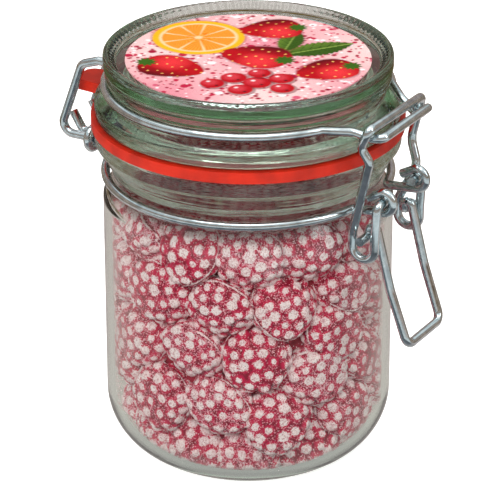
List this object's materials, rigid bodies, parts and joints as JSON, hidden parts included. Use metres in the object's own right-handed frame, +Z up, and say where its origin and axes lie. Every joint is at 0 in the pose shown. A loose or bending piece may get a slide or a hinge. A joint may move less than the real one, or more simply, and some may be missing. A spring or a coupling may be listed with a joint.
{
  "type": "jar of fruit candies",
  "caption": "Shut clip-top glass jar with a wire clasp and rubber seal, a round print in its lid, filled with sugared berry-shaped hard candies.",
  "frame": {"origin": "on the jar's axis, at the flat face of its base", "axes": "+Z up along the jar's axis, +X towards the clasp and its handle, -X towards the hinge"},
  "size_m": [0.1165, 0.088, 0.121],
  "materials": {
    "jar_glass": "clear, faintly green, polished",
    "candy_sugar": "crimson boiled sugar dusted with white sugar, matte",
    "seal_rubber": "satin orange-red rubber",
    "lid_glass": "clear, faintly green, polished",
    "label_print": "satin printed paper",
    "neck_wire_steel": "bright zinc-plated wire",
    "lid_wire_steel": "bright zinc-plated wire",
    "latch_steel": "bright zinc-plated wire",
    "handle_steel": "bright zinc-plated wire"
  },
  "bodies": {
    "jar": {"jar": "jar_glass", "candies": "candy_sugar", "seal": "seal_rubber", "lid": "lid_glass", "label": "label_print", "neck_wire": "neck_wire_steel", "lid_wire": "lid_wire_steel", "latch": "latch_steel"},
    "handle": {"handle": "handle_steel"}
  },
  "joints": [
    {"name": "handle_swing", "type": "hinge", "parent": "jar", "child": "handle", "pos_m": [0.0445, 0, 0.079], "axis": [0, -1, 0], "range_deg": [0, 80]}
  ]
}
